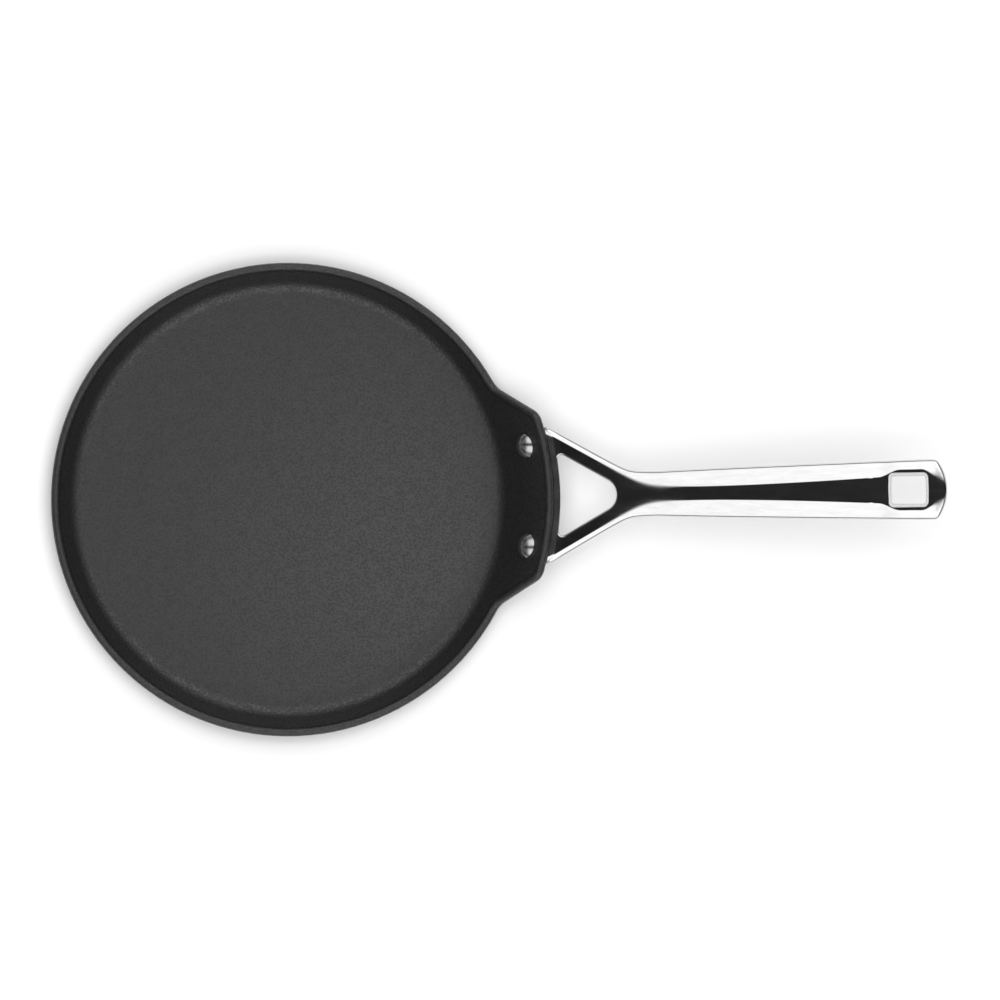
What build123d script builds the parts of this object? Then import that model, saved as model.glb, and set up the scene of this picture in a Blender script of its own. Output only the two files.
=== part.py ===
from build123d import *
import os
from math import asin, atan2, cos, degrees, hypot, pi, radians, sin, sqrt, tan

# Crepe pan, millimetres. Origin on the pan's axis at the face it rests on, +Z up, handle to +X.

os.makedirs("parts", exist_ok=True)

overrun = 40.0  # how far a cutting body runs past what it cuts

# Pan: flat floor, low conical wall and a round lip that stands a little proud of the wall
rim_radius = 120.0
wall_run = 15.6  # plan width of wall and lip, from the floor's edge to the rim's
floor_thickness = 5.2
floor_fillet = 8.0
base_fillet = 9.0
wall_thickness = 2.8
wall_slope = 48
lip_radius = 2.2
lip_stand = 0.5
lip_bite = 0.39  # how far inside the lip's centre line the wall stops

# Ear: the same wall carried on outward and upward, ending in the same lip
ear_stand = 14.8  # how far the ear reaches beyond the rim
ear_half_width = 55.3
ear_flank = 32
ear_root_fillet = 15.0
ear_corner_fillet = 10.0

# Induction disc pressed into the underside, its holes filled by the pan's own metal
disc_margin = 9.4
disc_thickness = 0.8
disc_stand = 0.3
disc_hole = 7.0
disc_pitch = 18.0  # between the holes of one ring
disc_ring_shares = (0.32, 0.49, 0.66, 0.83)

# Rivets, square to the ear's wall
rivet_offset = 6.2  # inward from the fork's outer edge
rivet_inset = 11.6  # from the ear's edge
shank_radius = 3.0
head_radius = 6.35
head_edge = 0.7
head_rise = 2.9
tail_radius = 5.4
tail_edge = 0.8
tail_rise = 1.6

# Bracket: a curved plate behind the ear, its top face level with the lip's centre line
bracket_thickness = 3.0
bracket_margin = 4.0  # beyond the arms, each side
bracket_depth = 23.0
bracket_round = 7.0
bracket_clearance = 0.15

# Handle: fork arms, neck and grip along an arc that levels off towards the end
handle_span = 199.5  # from the ear's edge to the end
root_pitch = 17
end_pitch = 3
fork_half_width = 31.5
fork_angle = 30
arm_bevel = 3.5
arm_drop = 2.15
neck_half_width = 11.35
neck_blend = 1.25
neck_length = 15.3
grip_half_width = 15.3
grip_from_end = 14.3  # the widest place
growth_share = 0.8
grip_thickness = 11.5
side_share = 0.31
side_round = 1.0
belly_inset = 2.6
end_arc = 25.0
end_corner = 4.0
end_margin = 1.0

# Hollow under the grip
hollow_wall = 3.0
hollow_shares = (0.14, 0.27, 0.41, 0.54, 0.68, 0.81, 0.94)

# Openings through the handle
arm_band = 5.8
fork_apex_round = 8.4
hole_length = 19.7
hole_width = 16.7
hole_from_end = 9.9
hole_corner = 2.4
hole_rim = 1.55
hole_draft = 8
hole_depth_share = 1.5
opening_round = 0.6

# Stations across the handle: place, the flat top's half-width, the side facet's drop as a share
# of the grip's half-width, and the thickness as a share of the grip's thickness. The arms' places
# are shares of the fork's length, and their bevel sets flat and drop. The grip's are shares of the
# stretch from neck to hanging hole. The end's run back from the end, as shares of the hole's
# distance from it, their flat tops as shares of the hole's half-width with its rim.
arm_shares = (
    (-0.337, 0.38),
    (-0.140, 0.45),
    (0.056, 0.55),
    (0.253, 0.65),
    (0.450, 0.73),
    (0.646, 0.79),
)
grip_shares = (
    (-0.045, 0.700, 0.155, 0.83),
    (0.003, 0.505, 0.180, 0.86),
    (0.055, 0.360, 0.215, 0.90),
    (0.125, 0.250, 0.245, 0.94),
    (0.241, 0.206, 0.262, 0.98),
    (0.420, 0.228, 0.270, 1.00),
    (0.629, 0.285, 0.275, 1.00),
    (0.838, 0.370, 0.275, 1.00),
    (0.949, 0.432, 0.265, 1.00),
)
end_shares = (
    (0.994, 0.842, 0.250, 0.99),
    (0.762, 0.997, 0.235, 0.97),
    (0.464, 0.982, 0.235, 0.94),
    (0.212, 0.773, 0.245, 0.90),
    (-0.066, 0.510, 0.260, 0.84),
)

# Places that follow from one another, from the rim inward and outward
floor_radius = rim_radius - wall_run
disc_radius = floor_radius - disc_margin
ear_reach = rim_radius + ear_stand
rivet_distance = ear_reach - rivet_inset
handle_reach = ear_reach + handle_span

# Wall section: places along the slope and square to it
slope = radians(wall_slope)
floor_top = disc_stand + floor_thickness
foot_radius = floor_radius + floor_fillet * sin(slope)
foot_height = floor_top + floor_fillet * (1 - cos(slope))
lip_depth = lip_radius - lip_stand


def wall_height(radius, depth):
    """Height of the wall's section at a plan radius, a depth square below the inner face."""
    return foot_height + (radius - foot_radius - depth * sin(slope)) * tan(slope) - depth * cos(slope)


def wall_reach(height, depth):
    """Plan radius of the wall's section at a height, a depth square below the inner face."""
    return foot_radius + depth * sin(slope) + (height - foot_height + depth * cos(slope)) / tan(slope)


rim_centre = (rim_radius - lip_radius, wall_height(rim_radius - lip_radius, lip_depth))
ear_centre = (ear_reach - lip_radius, wall_height(ear_reach - lip_radius, lip_depth))

# Ear outline in plan: a straight flank with an arc tangent to it at each end
flank = radians(ear_flank)
flank_distance = sqrt(rim_radius**2 - ear_half_width**2) * sin(flank) + ear_half_width * cos(flank)


def off_flank(distance, along):
    """Plan point at a distance from the axis square to the flank, and along the flank."""
    return (
        sin(flank) * distance + cos(flank) * along,
        cos(flank) * distance - sin(flank) * along,
    )


def ear_arcs():
    """Centres of the root arc and the corner arc, which an inset of the outline leaves in place."""
    root_distance = flank_distance + ear_root_fillet
    root = off_flank(root_distance, sqrt((rim_radius + ear_root_fillet) ** 2 - root_distance**2))
    corner_distance = flank_distance - ear_corner_fillet
    corner = off_flank(
        corner_distance, sqrt((ear_reach - ear_corner_fillet) ** 2 - corner_distance**2)
    )
    return root, corner


def ear_outline(inset):
    """Seven plan points from the rim to the ear's top arc, an inset inside the outer edge."""
    root, corner = ear_arcs()
    flank_turn = pi / 2 - flank
    root_turn = atan2(root[1], root[0])
    corner_turn = atan2(corner[1], corner[0])
    root_size = ear_root_fillet + inset
    corner_size = ear_corner_fillet - inset
    points = []
    for turn in (root_turn, (root_turn + flank_turn) / 2, flank_turn):
        points.append((root[0] - root_size * cos(turn), root[1] - root_size * sin(turn)))
    for turn in (flank_turn, (flank_turn + corner_turn) / 2, corner_turn):
        points.append((corner[0] + corner_size * cos(turn), corner[1] + corner_size * sin(turn)))
    middle = tuple((a + b) / 2 for a, b in zip(points[2], points[3]))
    return points[:3] + [middle] + points[3:]


root_angle = atan2(*ear_outline(0)[0][::-1])
corner_angle = atan2(*ear_outline(0)[-1][::-1])
ear_turn = degrees(2 * root_angle)
top_turn = degrees(2 * corner_angle)


def lifted(point):
    """The plan point raised onto the lip's centre line."""
    return (point[0], point[1], wall_height(hypot(*point), lip_depth))


def wall_section(top_radius):
    """Closed section of floor and wall, up to a plan radius."""
    corner_radius = wall_reach(disc_stand, wall_thickness)
    tangent = base_fillet * tan(slope / 2)
    base_start = (corner_radius - tangent, disc_stand)
    base_middle = (
        base_start[0] + base_fillet * sin(slope / 2),
        disc_stand + base_fillet * (1 - cos(slope / 2)),
    )
    base_end = (corner_radius + tangent * cos(slope), disc_stand + tangent * sin(slope))
    floor_middle = (
        floor_radius + floor_fillet * sin(slope / 2),
        floor_top + floor_fillet * (1 - cos(slope / 2)),
    )
    Line((0, disc_stand), base_start)
    ThreePointArc(base_start, base_middle, base_end)
    Polyline(
        base_end,
        (top_radius, wall_height(top_radius, wall_thickness)),
        (top_radius, wall_height(top_radius, 0)),
        (foot_radius, foot_height),
    )
    ThreePointArc((foot_radius, foot_height), floor_middle, (floor_radius, floor_top))
    Polyline((floor_radius, floor_top), (0, floor_top), (0, disc_stand))


def radial_plane(angle):
    """Upright plane through the axis, its local x pointing outward at an angle from +X."""
    return Plane((0, 0, 0), x_dir=(cos(angle), sin(angle), 0), z_dir=(sin(angle), -cos(angle), 0))


def disc_sketch():
    """The induction disc's outline with its rings of holes."""
    Circle(disc_radius)
    for ring_share in disc_ring_shares:
        ring_radius = disc_radius * ring_share
        with PolarLocations(ring_radius, round(2 * pi * ring_radius / disc_pitch)):
            Circle(disc_hole / 2, mode=Mode.SUBTRACT)


def rivet_plane(side, depth):
    """Plane square to the wall at a rivet, a depth below the inner face, facing inward."""
    angle = side * asin((fork_half_width - rivet_offset) / rivet_distance)
    seat = Vector(
        rivet_distance * cos(angle), rivet_distance * sin(angle), wall_height(rivet_distance, 0)
    )
    inward = Vector(-sin(slope) * cos(angle), -sin(slope) * sin(angle), cos(slope))
    return Plane(seat - inward * depth, x_dir=(-sin(angle), cos(angle), 0), z_dir=inward)


rivet_sides = {"rivet_left": 1, "rivet_right": -1}


def lip_bend(corner, before, after, reach):
    """Centre, axis, angle and end of the arc that rounds a corner, a reach to each side of it."""
    turn = radians(before.get_angle(after))
    inward = (after - before * before.dot(after)).normalized()
    centre = corner - before * reach + inward * (reach / tan(turn / 2))
    return centre, before.cross(inward), degrees(turn), corner + after * reach


# Lip along the ear's flanks: level with the rim, up the wall's slope, then level with the ear's top
with BuildPart() as flank_lips:
    edge = ear_outline(lip_radius)
    level_start = Vector(*lifted(edge[0]))
    level_end = Vector(*lifted(edge[-1]))
    start_way = Vector(sin(root_angle), -cos(root_angle))
    end_way = Vector(sin(corner_angle), -cos(corner_angle))
    root_reach = (ear_root_fillet + lip_radius) * tan((pi / 2 - flank - root_angle) / 2)
    corner_reach = (ear_corner_fillet - lip_radius) * tan((pi / 2 - flank - corner_angle) / 2)
    foot = level_start + start_way * root_reach
    head = level_end - end_way * corner_reach
    climb = (head - foot).normalized()
    centre, pivot, turn, climb_start = lip_bend(foot, start_way, climb, root_reach)
    with BuildSketch(Plane(level_start, z_dir=start_way)):
        Circle(lip_radius)
    revolve(axis=Axis(centre, pivot), revolution_arc=turn)
    with BuildSketch(Plane(climb_start, z_dir=climb)):
        Circle(lip_radius)
    extrude(amount=(head - climb_start).length - corner_reach)
    centre, pivot, turn, climb_end = lip_bend(head, climb, end_way, corner_reach)
    with BuildSketch(Plane(head - climb * corner_reach, z_dir=climb)):
        Circle(lip_radius)
    revolve(axis=Axis(centre, pivot), revolution_arc=turn)
    mirror(about=Plane.XZ)

# Pan: the ear's sector of the wall cut to its outline, then the rest of the turn and the lips
with BuildPart() as pan_body:
    with BuildSketch(radial_plane(-root_angle)):
        with BuildLine():
            wall_section(ear_reach)
        make_face()
    revolve(axis=Axis.Z, revolution_arc=ear_turn)
    edge = ear_outline(lip_radius + lip_bite)
    back = [(x, -y) for x, y in reversed(edge)]
    with BuildSketch():
        with BuildLine():
            ThreePointArc(*edge[0:3])
            Line(edge[2], edge[4])
            ThreePointArc(*edge[4:7])
            ThreePointArc(edge[6], (ear_centre[0] - lip_bite, 0), back[0])
            ThreePointArc(*back[0:3])
            Line(back[2], back[4])
            ThreePointArc(*back[4:7])
            Polyline(back[6], (0, 0), edge[0])
        make_face()
    extrude(amount=ear_centre[1] + overrun, mode=Mode.INTERSECT)
    with BuildSketch(radial_plane(root_angle)):
        with BuildLine():
            wall_section(rim_centre[0] - lip_bite)
        make_face()
        with Locations(rim_centre):
            Circle(lip_radius)
    revolve(axis=Axis.Z, revolution_arc=360 - ear_turn)
    with BuildSketch(radial_plane(-corner_angle)):
        with Locations(ear_centre):
            Circle(lip_radius)
    revolve(axis=Axis.Z, revolution_arc=top_turn)
    add(flank_lips.part)
    with BuildSketch():
        disc_sketch()
    extrude(amount=disc_thickness, mode=Mode.SUBTRACT)
    for side in rivet_sides.values():
        with BuildSketch(rivet_plane(side, wall_thickness / 2)):
            Circle(shank_radius)
        extrude(amount=wall_thickness, both=True, mode=Mode.SUBTRACT)
pan_body.part.label = "pan_body"
export_step(pan_body.part, "parts/pan_body.step")

with BuildPart() as base_disc:
    with BuildSketch():
        disc_sketch()
    extrude(amount=disc_thickness)
base_disc.part.label = "base_disc"
export_step(base_disc.part, "parts/base_disc.step")

# Bracket section: its top level with the lip's centre line, its outer face along the slope
bracket_top = ear_centre[1]
bracket_outer = wall_thickness + bracket_thickness
root_x = wall_reach(bracket_top, bracket_outer)
bracket_low = bracket_top - bracket_depth * sin(slope)
bracket_section = (
    (wall_reach(bracket_top, 0), bracket_top),
    (root_x, bracket_top),
    (wall_reach(bracket_low, bracket_outer), bracket_low),
    (wall_reach(bracket_low, bracket_outer) - bracket_outer * sin(slope), bracket_low
     + bracket_outer * cos(slope)),
)
bracket_half_width = fork_half_width + bracket_margin
bracket_angle = asin(bracket_half_width / root_x)

# Space that the ear takes up in front of the bracket, a clearance off its lip
ear_space = (
    (0, 0),
    (wall_reach(0, wall_thickness), 0),
    (wall_reach(bracket_top, wall_thickness), bracket_top),
    (ear_reach + bracket_clearance, bracket_top),
    (ear_reach + bracket_clearance, bracket_top + overrun),
    (0, bracket_top + overrun),
)

# Handle line, from the bracket's top face to the end
handle_length = handle_reach - root_x
line_radius = handle_length / (sin(radians(root_pitch)) - sin(radians(end_pitch)))
fork_length = (fork_half_width - neck_half_width) / tan(radians(fork_angle))
hole_back = hole_from_end + hole_length
grip_stretch = handle_length - hole_back - fork_length


def top_height(place):
    """Height of the handle's flat top, at a distance from the bracket."""
    pitch = asin(sin(radians(root_pitch)) - place / line_radius)
    return bracket_top + line_radius * (cos(pitch) - cos(radians(root_pitch)))


def half_width(place):
    """Half-width in plan: the fork's straight side running into neck and grip."""
    neck_end = fork_length + neck_length
    growth = (place - neck_end) / (handle_length - grip_from_end - neck_end)
    growth = min(max(growth, 0), 1) ** growth_share
    grip = neck_half_width + (grip_half_width - neck_half_width) * growth
    fork = fork_half_width - tan(radians(fork_angle)) * place
    return grip + (fork - grip + hypot(fork - grip, 2 * neck_blend)) / 2


def handle_plane(place):
    """Upright plane across the handle."""
    return Plane.YZ.offset(root_x + place)


def stations():
    """Place, flat top's half-width, facet's drop and thickness of every section, in order."""
    rows = []
    for place_share, thickness_share in arm_shares:
        place = fork_length * place_share
        rows.append((place, half_width(place) - arm_bevel, arm_drop, thickness_share))
    for place_share, flat_share, drop_share, thickness_share in grip_shares:
        place = fork_length + grip_stretch * place_share
        flat = grip_half_width * flat_share
        rows.append((place, flat, grip_half_width * drop_share, thickness_share))
    for place_share, flat_share, drop_share, thickness_share in end_shares:
        place = handle_length - hole_back * place_share
        flat = (hole_width / 2 + hole_rim) * flat_share
        rows.append((place, flat, grip_half_width * drop_share, thickness_share))
    return [(place, flat, drop, grip_thickness * share) for place, flat, drop, share in rows]


def profile(place, flat, drop, thickness):
    """Half-section's levels and widths: top, flat, shoulder, side and belly."""
    top = top_height(place)
    return top, flat, top - drop, half_width(place), top - thickness


def handle_section(row):
    """Section across the handle: flat top, two side facets, rounded sides and a flat belly."""
    top, flat, shoulder, side, belly = profile(*row)
    half = [
        (flat, top),
        (side, shoulder),
        (side, shoulder - (top - belly) * side_share),
        (side - belly_inset, belly),
    ]
    Polygon(*half, *[(-y, z) for y, z in reversed(half)], align=None)
    rows = vertices().group_by(Axis.Y)
    fillet(rows[0] + rows[1] + rows[2], radius=side_round)


def between_stations(place):
    """Row at any place along the grip."""
    for before, after in zip(stations(), stations()[1:]):
        if before[0] <= place <= after[0]:
            part = (place - before[0]) / (after[0] - before[0])
            return tuple(a + (b - a) * part for a, b in zip(before, after))


def hollow_section(place):
    """Section of the space under the grip, one wall inside its top and sides."""
    top, flat, shoulder, side, belly = profile(*between_stations(place))
    half = [
        (flat, top - hollow_wall),
        (side - hollow_wall, shoulder - hollow_wall),
        (side - hollow_wall, belly - overrun),
    ]
    Polygon(*half, *[(-y, z) for y, z in reversed(half)], align=None)


# Openings and end in plan
fork_inner = fork_half_width - arm_bevel - arm_band / cos(radians(fork_angle))
fork_apex = root_x + fork_inner / tan(radians(fork_angle))
fork_back = root_x - bracket_depth
end_centre = handle_reach - end_arc
end_half_width = grip_half_width + end_margin
bar_top = top_height(handle_length) + overrun

with BuildPart() as bracket:
    with BuildSketch(radial_plane(-bracket_angle)):
        Polygon(*bracket_section, align=None)
    revolve(axis=Axis.Z, revolution_arc=degrees(2 * bracket_angle))
    with BuildSketch(Plane.YZ):
        with Locations((0, bracket_low + overrun)):
            RectangleRounded(2 * bracket_half_width, 2 * overrun, bracket_round)
    extrude(amount=handle_reach, mode=Mode.INTERSECT)

# Space outside the arms, which carries their side and bevel on across the bracket's corners
with BuildPart() as arm_space:
    side_way = (sin(radians(fork_angle)), cos(radians(fork_angle)), 0)
    arm_way = (cos(radians(fork_angle)), -sin(radians(fork_angle)), 0)
    with BuildSketch(Plane((root_x, fork_half_width, bracket_top), x_dir=side_way, z_dir=arm_way)):
        Polygon(
            (-arm_bevel * cos(radians(fork_angle)), 0),
            (0, -arm_drop),
            (0, -bracket_depth - overrun),
            (overrun, -bracket_depth - overrun),
            (overrun, overrun),
            (-arm_bevel * cos(radians(fork_angle)), overrun),
            align=None,
        )
    extrude(amount=-bracket_depth)
    mirror(about=Plane.XZ)

# Handle: the bar, its end rounded in plan and its openings cut, then the bracket joined to it
with BuildPart() as handle:
    for row in stations():
        with BuildSketch(handle_plane(row[0])):
            handle_section(row)
    loft()
    with BuildSketch():
        with Locations((end_centre, 0)):
            Circle(end_arc)
            Rectangle(2 * end_arc, 2 * end_half_width, mode=Mode.INTERSECT)
        fillet(vertices().filter_by(lambda corner: corner.X > end_centre), radius=end_corner)
        Rectangle(end_centre, 2 * bracket_half_width, align=(Align.MIN, Align.CENTER))
    extrude(amount=bar_top, mode=Mode.INTERSECT)
    with BuildSketch():
        Polygon(
            (fork_apex, 0),
            (fork_back, (fork_apex - fork_back) * tan(radians(fork_angle))),
            (fork_back, (fork_back - fork_apex) * tan(radians(fork_angle))),
            align=None,
        )
        fillet(vertices().sort_by(Axis.X)[-1], radius=fork_apex_round)
    extrude(amount=bar_top, mode=Mode.SUBTRACT)
    fillet(edges(Select.LAST).filter_by(Axis.Z, reverse=True).sort_by(Axis.Z)[-3:], opening_round)
    for depth in (0, grip_thickness * hole_depth_share):
        with BuildSketch(Plane.XY.offset(top_height(handle_length) - depth)):
            inset = depth * tan(radians(hole_draft))
            with Locations((handle_reach - hole_back + hole_length / 2, 0)):
                RectangleRounded(hole_length - 2 * inset, hole_width - 2 * inset, hole_corner)
    loft(mode=Mode.SUBTRACT)
    fillet(edges(Select.LAST).sort_by(Axis.Z)[-8:], radius=opening_round)
    for hollow_share in hollow_shares:
        place = fork_length + grip_stretch * hollow_share
        with BuildSketch(handle_plane(place)):
            hollow_section(place)
    loft(mode=Mode.SUBTRACT)
    add(bracket.part)
    add(arm_space.part, mode=Mode.SUBTRACT)
    with BuildSketch(Plane.XZ):
        Polygon(*ear_space, align=None)
        with Locations(ear_centre):
            Circle(lip_radius + bracket_clearance)
    revolve(axis=Axis.Z, mode=Mode.SUBTRACT)
    for side in rivet_sides.values():
        with BuildSketch(rivet_plane(side, bracket_outer)):
            Circle(shank_radius)
        extrude(amount=bracket_outer, mode=Mode.SUBTRACT)
handle.part.label = "handle"
export_step(handle.part, "parts/handle.step")

# Rivet section along its axis, which points inward: flat-seated domed head, shank and tail
head_seat = head_radius**2 * sin(slope) / (2 * rivet_distance)
head_top = head_seat + head_edge + head_rise
tail_top = -bracket_outer - tail_edge - tail_rise


def rivet_section():
    """Half-section from the tail's crown to the head's crown."""
    head_rim = (head_radius, head_top - head_rise)
    tail_rim = (tail_radius, tail_top + tail_rise)
    TangentArc((0, head_top), head_rim, tangent=(1, 0))
    Polyline(
        head_rim,
        (head_radius, head_seat),
        (shank_radius, head_seat),
        (shank_radius, -bracket_outer),
        (tail_radius, -bracket_outer),
        tail_rim,
    )
    TangentArc((0, tail_top), tail_rim, tangent=(1, 0))
    Line((0, tail_top), (0, head_top))


for name, side in rivet_sides.items():
    seat = rivet_plane(side, 0)
    with BuildPart() as rivet:
        with BuildSketch(Plane(seat.origin, x_dir=seat.x_dir, z_dir=seat.x_dir.cross(seat.z_dir))):
            with BuildLine():
                rivet_section()
            make_face()
        revolve(axis=Axis(seat.origin, seat.z_dir))
    rivet.part.label = name
    export_step(rivet.part, f"parts/{name}.step")
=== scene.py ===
from math import asin, atan2, cos, hypot, pi, radians, sin, sqrt, tan

import bpy
import numpy as np
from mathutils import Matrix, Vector
from mathutils.geometry import delaunay_2d_cdt


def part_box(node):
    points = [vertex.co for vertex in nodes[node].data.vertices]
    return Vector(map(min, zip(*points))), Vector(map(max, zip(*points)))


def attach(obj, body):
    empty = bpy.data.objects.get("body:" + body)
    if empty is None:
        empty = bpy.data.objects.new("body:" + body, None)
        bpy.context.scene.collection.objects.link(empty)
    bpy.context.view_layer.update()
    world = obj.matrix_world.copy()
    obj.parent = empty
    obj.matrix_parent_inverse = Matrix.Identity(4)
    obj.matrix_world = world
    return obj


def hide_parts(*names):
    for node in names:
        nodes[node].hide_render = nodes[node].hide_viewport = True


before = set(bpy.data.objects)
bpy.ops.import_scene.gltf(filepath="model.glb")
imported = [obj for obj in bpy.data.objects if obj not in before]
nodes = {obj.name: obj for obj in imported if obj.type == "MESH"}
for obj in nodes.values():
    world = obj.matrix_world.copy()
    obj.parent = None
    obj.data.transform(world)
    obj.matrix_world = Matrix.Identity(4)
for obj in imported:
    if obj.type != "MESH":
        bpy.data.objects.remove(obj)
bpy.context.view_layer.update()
scene = bpy.context.scene
scene.view_settings.view_transform = "Standard"
mm = 0.001
print("frame loaded")


# small helpers for shader trees
def addNode(tree, kind, x, y, **values):
    node = tree.nodes.new(kind)
    node.location = (x, y)
    for name, value in values.items():
        setattr(node, name, value)
    return node


def feed(tree, socket, value):
    if isinstance(value, (int, float)):
        socket.default_value = value
    else:
        tree.links.new(value, socket)


def calculate(tree, operation, first, second, x, y):
    node = addNode(tree, "ShaderNodeMath", x, y, operation=operation)
    feed(tree, node.inputs[0], first)
    feed(tree, node.inputs[1], second)
    return node.outputs[0]


def rampBetween(tree, value, low, high, x, y, start=0.0, end=1.0):
    node = addNode(tree, "ShaderNodeMapRange", x, y, interpolation_type="SMOOTHSTEP")
    given = {"Value": value, "From Min": low, "From Max": high, "To Min": start, "To Max": end}
    for socket, wanted in given.items():
        feed(tree, node.inputs[socket], wanted)
    return node.outputs["Result"]


# camera straight above, as the photograph shows the pan
view = {
    "pictureWidth": 0.5067,         # metres across the picture
    "panAxis": (0.28784, 0.49962),  # the pan's axis, as shares of the picture from its top left
    "turn": 0.9,                    # degrees that the handle points up in the picture
    "height": 3.0,
    "reach": 20,
}


def placeCamera():
    camera = bpy.data.objects.new("camera", bpy.data.cameras.new("camera"))
    scene.collection.objects.link(camera)
    camera.data.type = "ORTHO"
    camera.data.ortho_scale = view["pictureWidth"]
    turn = radians(view["turn"])
    across = (0.5 - view["panAxis"][0]) * view["pictureWidth"]
    up = (view["panAxis"][1] - 0.5) * view["pictureWidth"]
    camera.location = (
        across * cos(turn) + up * sin(turn),
        up * cos(turn) - across * sin(turn),
        view["height"],
    )
    camera.rotation_euler = (0, 0, -turn)
    camera.data.clip_end = view["reach"]
    scene.camera = camera


placeCamera()
print("camera placed")

# studio: a long soft box each side of the pan, a dark strip overhead along the handle, a pale floor
studio = {
    "boxLevel": 1.58,
    "stripLevel": 0.025,
    "lowLevel": 0.3,
    "endShare": 0.15,         # how much of a box is left at its ends
    "panSide": (0.8, 1.15),   # the boxes are dimmer at the pan's end than at the handle's
    "panSpan": (-0.8, 0.8),   # lengthwise share of the direction where that changes
    "stripEdge": (8, 14),     # degrees from straight up, where the strip turns into a box
    "lowEdge": (52, 62),      # degrees from straight up, where a box ends above the floor
    "endEdge": (0.45, 0.7),   # lengthwise share of the direction where a box ends
    "lampPlace": (0.12, 0, 1.8),
    "lampSize": 1.3,
    "lampPower": 17.0,        # watts, of the overhead lamp that lights only what is matt
}


def makeWorld():
    world = bpy.data.worlds.new("studio")
    scene.world = world
    world.use_nodes = True
    tree = world.node_tree
    tree.nodes.clear()
    way = addNode(tree, "ShaderNodeTexCoord", -1400, 0)
    parts = addNode(tree, "ShaderNodeSeparateXYZ", -1200, 0)
    tree.links.new(way.outputs["Generated"], parts.inputs[0])
    sideways = calculate(tree, "ABSOLUTE", parts.outputs["Y"], 0, -1000, 100)
    lengthwise = calculate(tree, "ABSOLUTE", parts.outputs["X"], 0, -1000, -100)
    lean = calculate(tree, "ARCTAN2", sideways, parts.outputs["Z"], -850, 100)
    stripStart, stripEnd = (radians(edge) for edge in studio["stripEdge"])
    lowStart, lowEnd = (radians(edge) for edge in studio["lowEdge"])
    levels = studio["stripLevel"], studio["boxLevel"]
    strip = rampBetween(tree, lean, stripStart, stripEnd, -650, 200, *levels)
    ends = rampBetween(tree, lengthwise, *studio["endEdge"], -650, -300, 1.0, studio["endShare"])
    low = rampBetween(tree, lean, lowStart, lowEnd, -650, -50)
    lowered = addNode(tree, "ShaderNodeMix", -400, 100)
    tree.links.new(low, lowered.inputs["Factor"])
    tree.links.new(strip, lowered.inputs["A"])
    lowered.inputs["B"].default_value = studio["lowLevel"]
    uneven = rampBetween(tree, parts.outputs["X"], *studio["panSpan"], -650, -500, *studio["panSide"])
    level = calculate(tree, "MULTIPLY", lowered.outputs["Result"], ends, -150, 0)
    level = calculate(tree, "MULTIPLY", level, uneven, 50, 0)
    light = addNode(tree, "ShaderNodeBackground", 350, 50)
    white = addNode(tree, "ShaderNodeBackground", 350, -100)
    for background in (light, white):
        background.inputs["Color"].default_value = (1, 1, 1, 1)
    tree.links.new(level, light.inputs["Strength"])
    ray = addNode(tree, "ShaderNodeLightPath", 350, 350)
    mix = addNode(tree, "ShaderNodeMixShader", 550, 0)
    out = addNode(tree, "ShaderNodeOutputWorld", 750, 0)
    tree.links.new(ray.outputs["Is Camera Ray"], mix.inputs["Fac"])
    tree.links.new(light.outputs[0], mix.inputs[1])
    tree.links.new(white.outputs[0], mix.inputs[2])
    tree.links.new(mix.outputs[0], out.inputs[0])


def makeLamp():
    lamp = bpy.data.objects.new("overheadLamp", bpy.data.lights.new("overheadLamp", "AREA"))
    scene.collection.objects.link(lamp)
    lamp.location = studio["lampPlace"]
    lamp.data.shape = "DISK"
    lamp.data.size = studio["lampSize"]
    lamp.data.energy = studio["lampPower"]
    lamp.visible_glossy = False


makeWorld()
makeLamp()

floorPaper = {
    "size": 8.0,
    "glow": (0.04, 1.0),      # share of plain white near the pan and far from it
    "glowReach": (0.5, 1.0),  # metres from the pan's axis where it changes
    "glowStrength": 1.0,
    "colour": (0.92, 0.92, 0.92, 1),
}


def makeFloor():
    half = floorPaper["size"] / 2
    corners = [(-half, -half, 0), (half, -half, 0), (half, half, 0), (-half, half, 0)]
    mesh = bpy.data.meshes.new("floor")
    mesh.from_pydata(corners, [], [(0, 1, 2, 3)])
    floor = bpy.data.objects.new("floor", mesh)
    scene.collection.objects.link(floor)
    material = bpy.data.materials.new("floorPaper")
    material.use_nodes = True
    tree = material.node_tree
    tree.nodes.clear()
    paper = addNode(tree, "ShaderNodeBsdfDiffuse", 0, 100)
    paper.inputs["Color"].default_value = floorPaper["colour"]
    glow = addNode(tree, "ShaderNodeEmission", 0, -50)
    glow.inputs["Strength"].default_value = floorPaper["glowStrength"]
    ray = addNode(tree, "ShaderNodeLightPath", -400, 300)
    seen = calculate(tree, "MAXIMUM", ray.outputs["Is Camera Ray"], ray.outputs["Is Glossy Ray"], -200, 250)
    place = addNode(tree, "ShaderNodeTexCoord", -800, 500)
    away = addNode(tree, "ShaderNodeVectorMath", -600, 500, operation="LENGTH")
    tree.links.new(place.outputs["Object"], away.inputs[0])
    reach, levels = floorPaper["glowReach"], floorPaper["glow"]
    glowing = rampBetween(tree, away.outputs["Value"], *reach, -400, 500, *levels)
    share = calculate(tree, "MULTIPLY", seen, glowing, 0, 250)
    mix = addNode(tree, "ShaderNodeMixShader", 200, 0)
    out = addNode(tree, "ShaderNodeOutputMaterial", 400, 0)
    tree.links.new(share, mix.inputs["Fac"])
    tree.links.new(paper.outputs[0], mix.inputs[1])
    tree.links.new(glow.outputs[0], mix.inputs[2])
    tree.links.new(mix.outputs[0], out.inputs[0])
    mesh.materials.append(material)


makeFloor()
print("studio lit")


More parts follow.
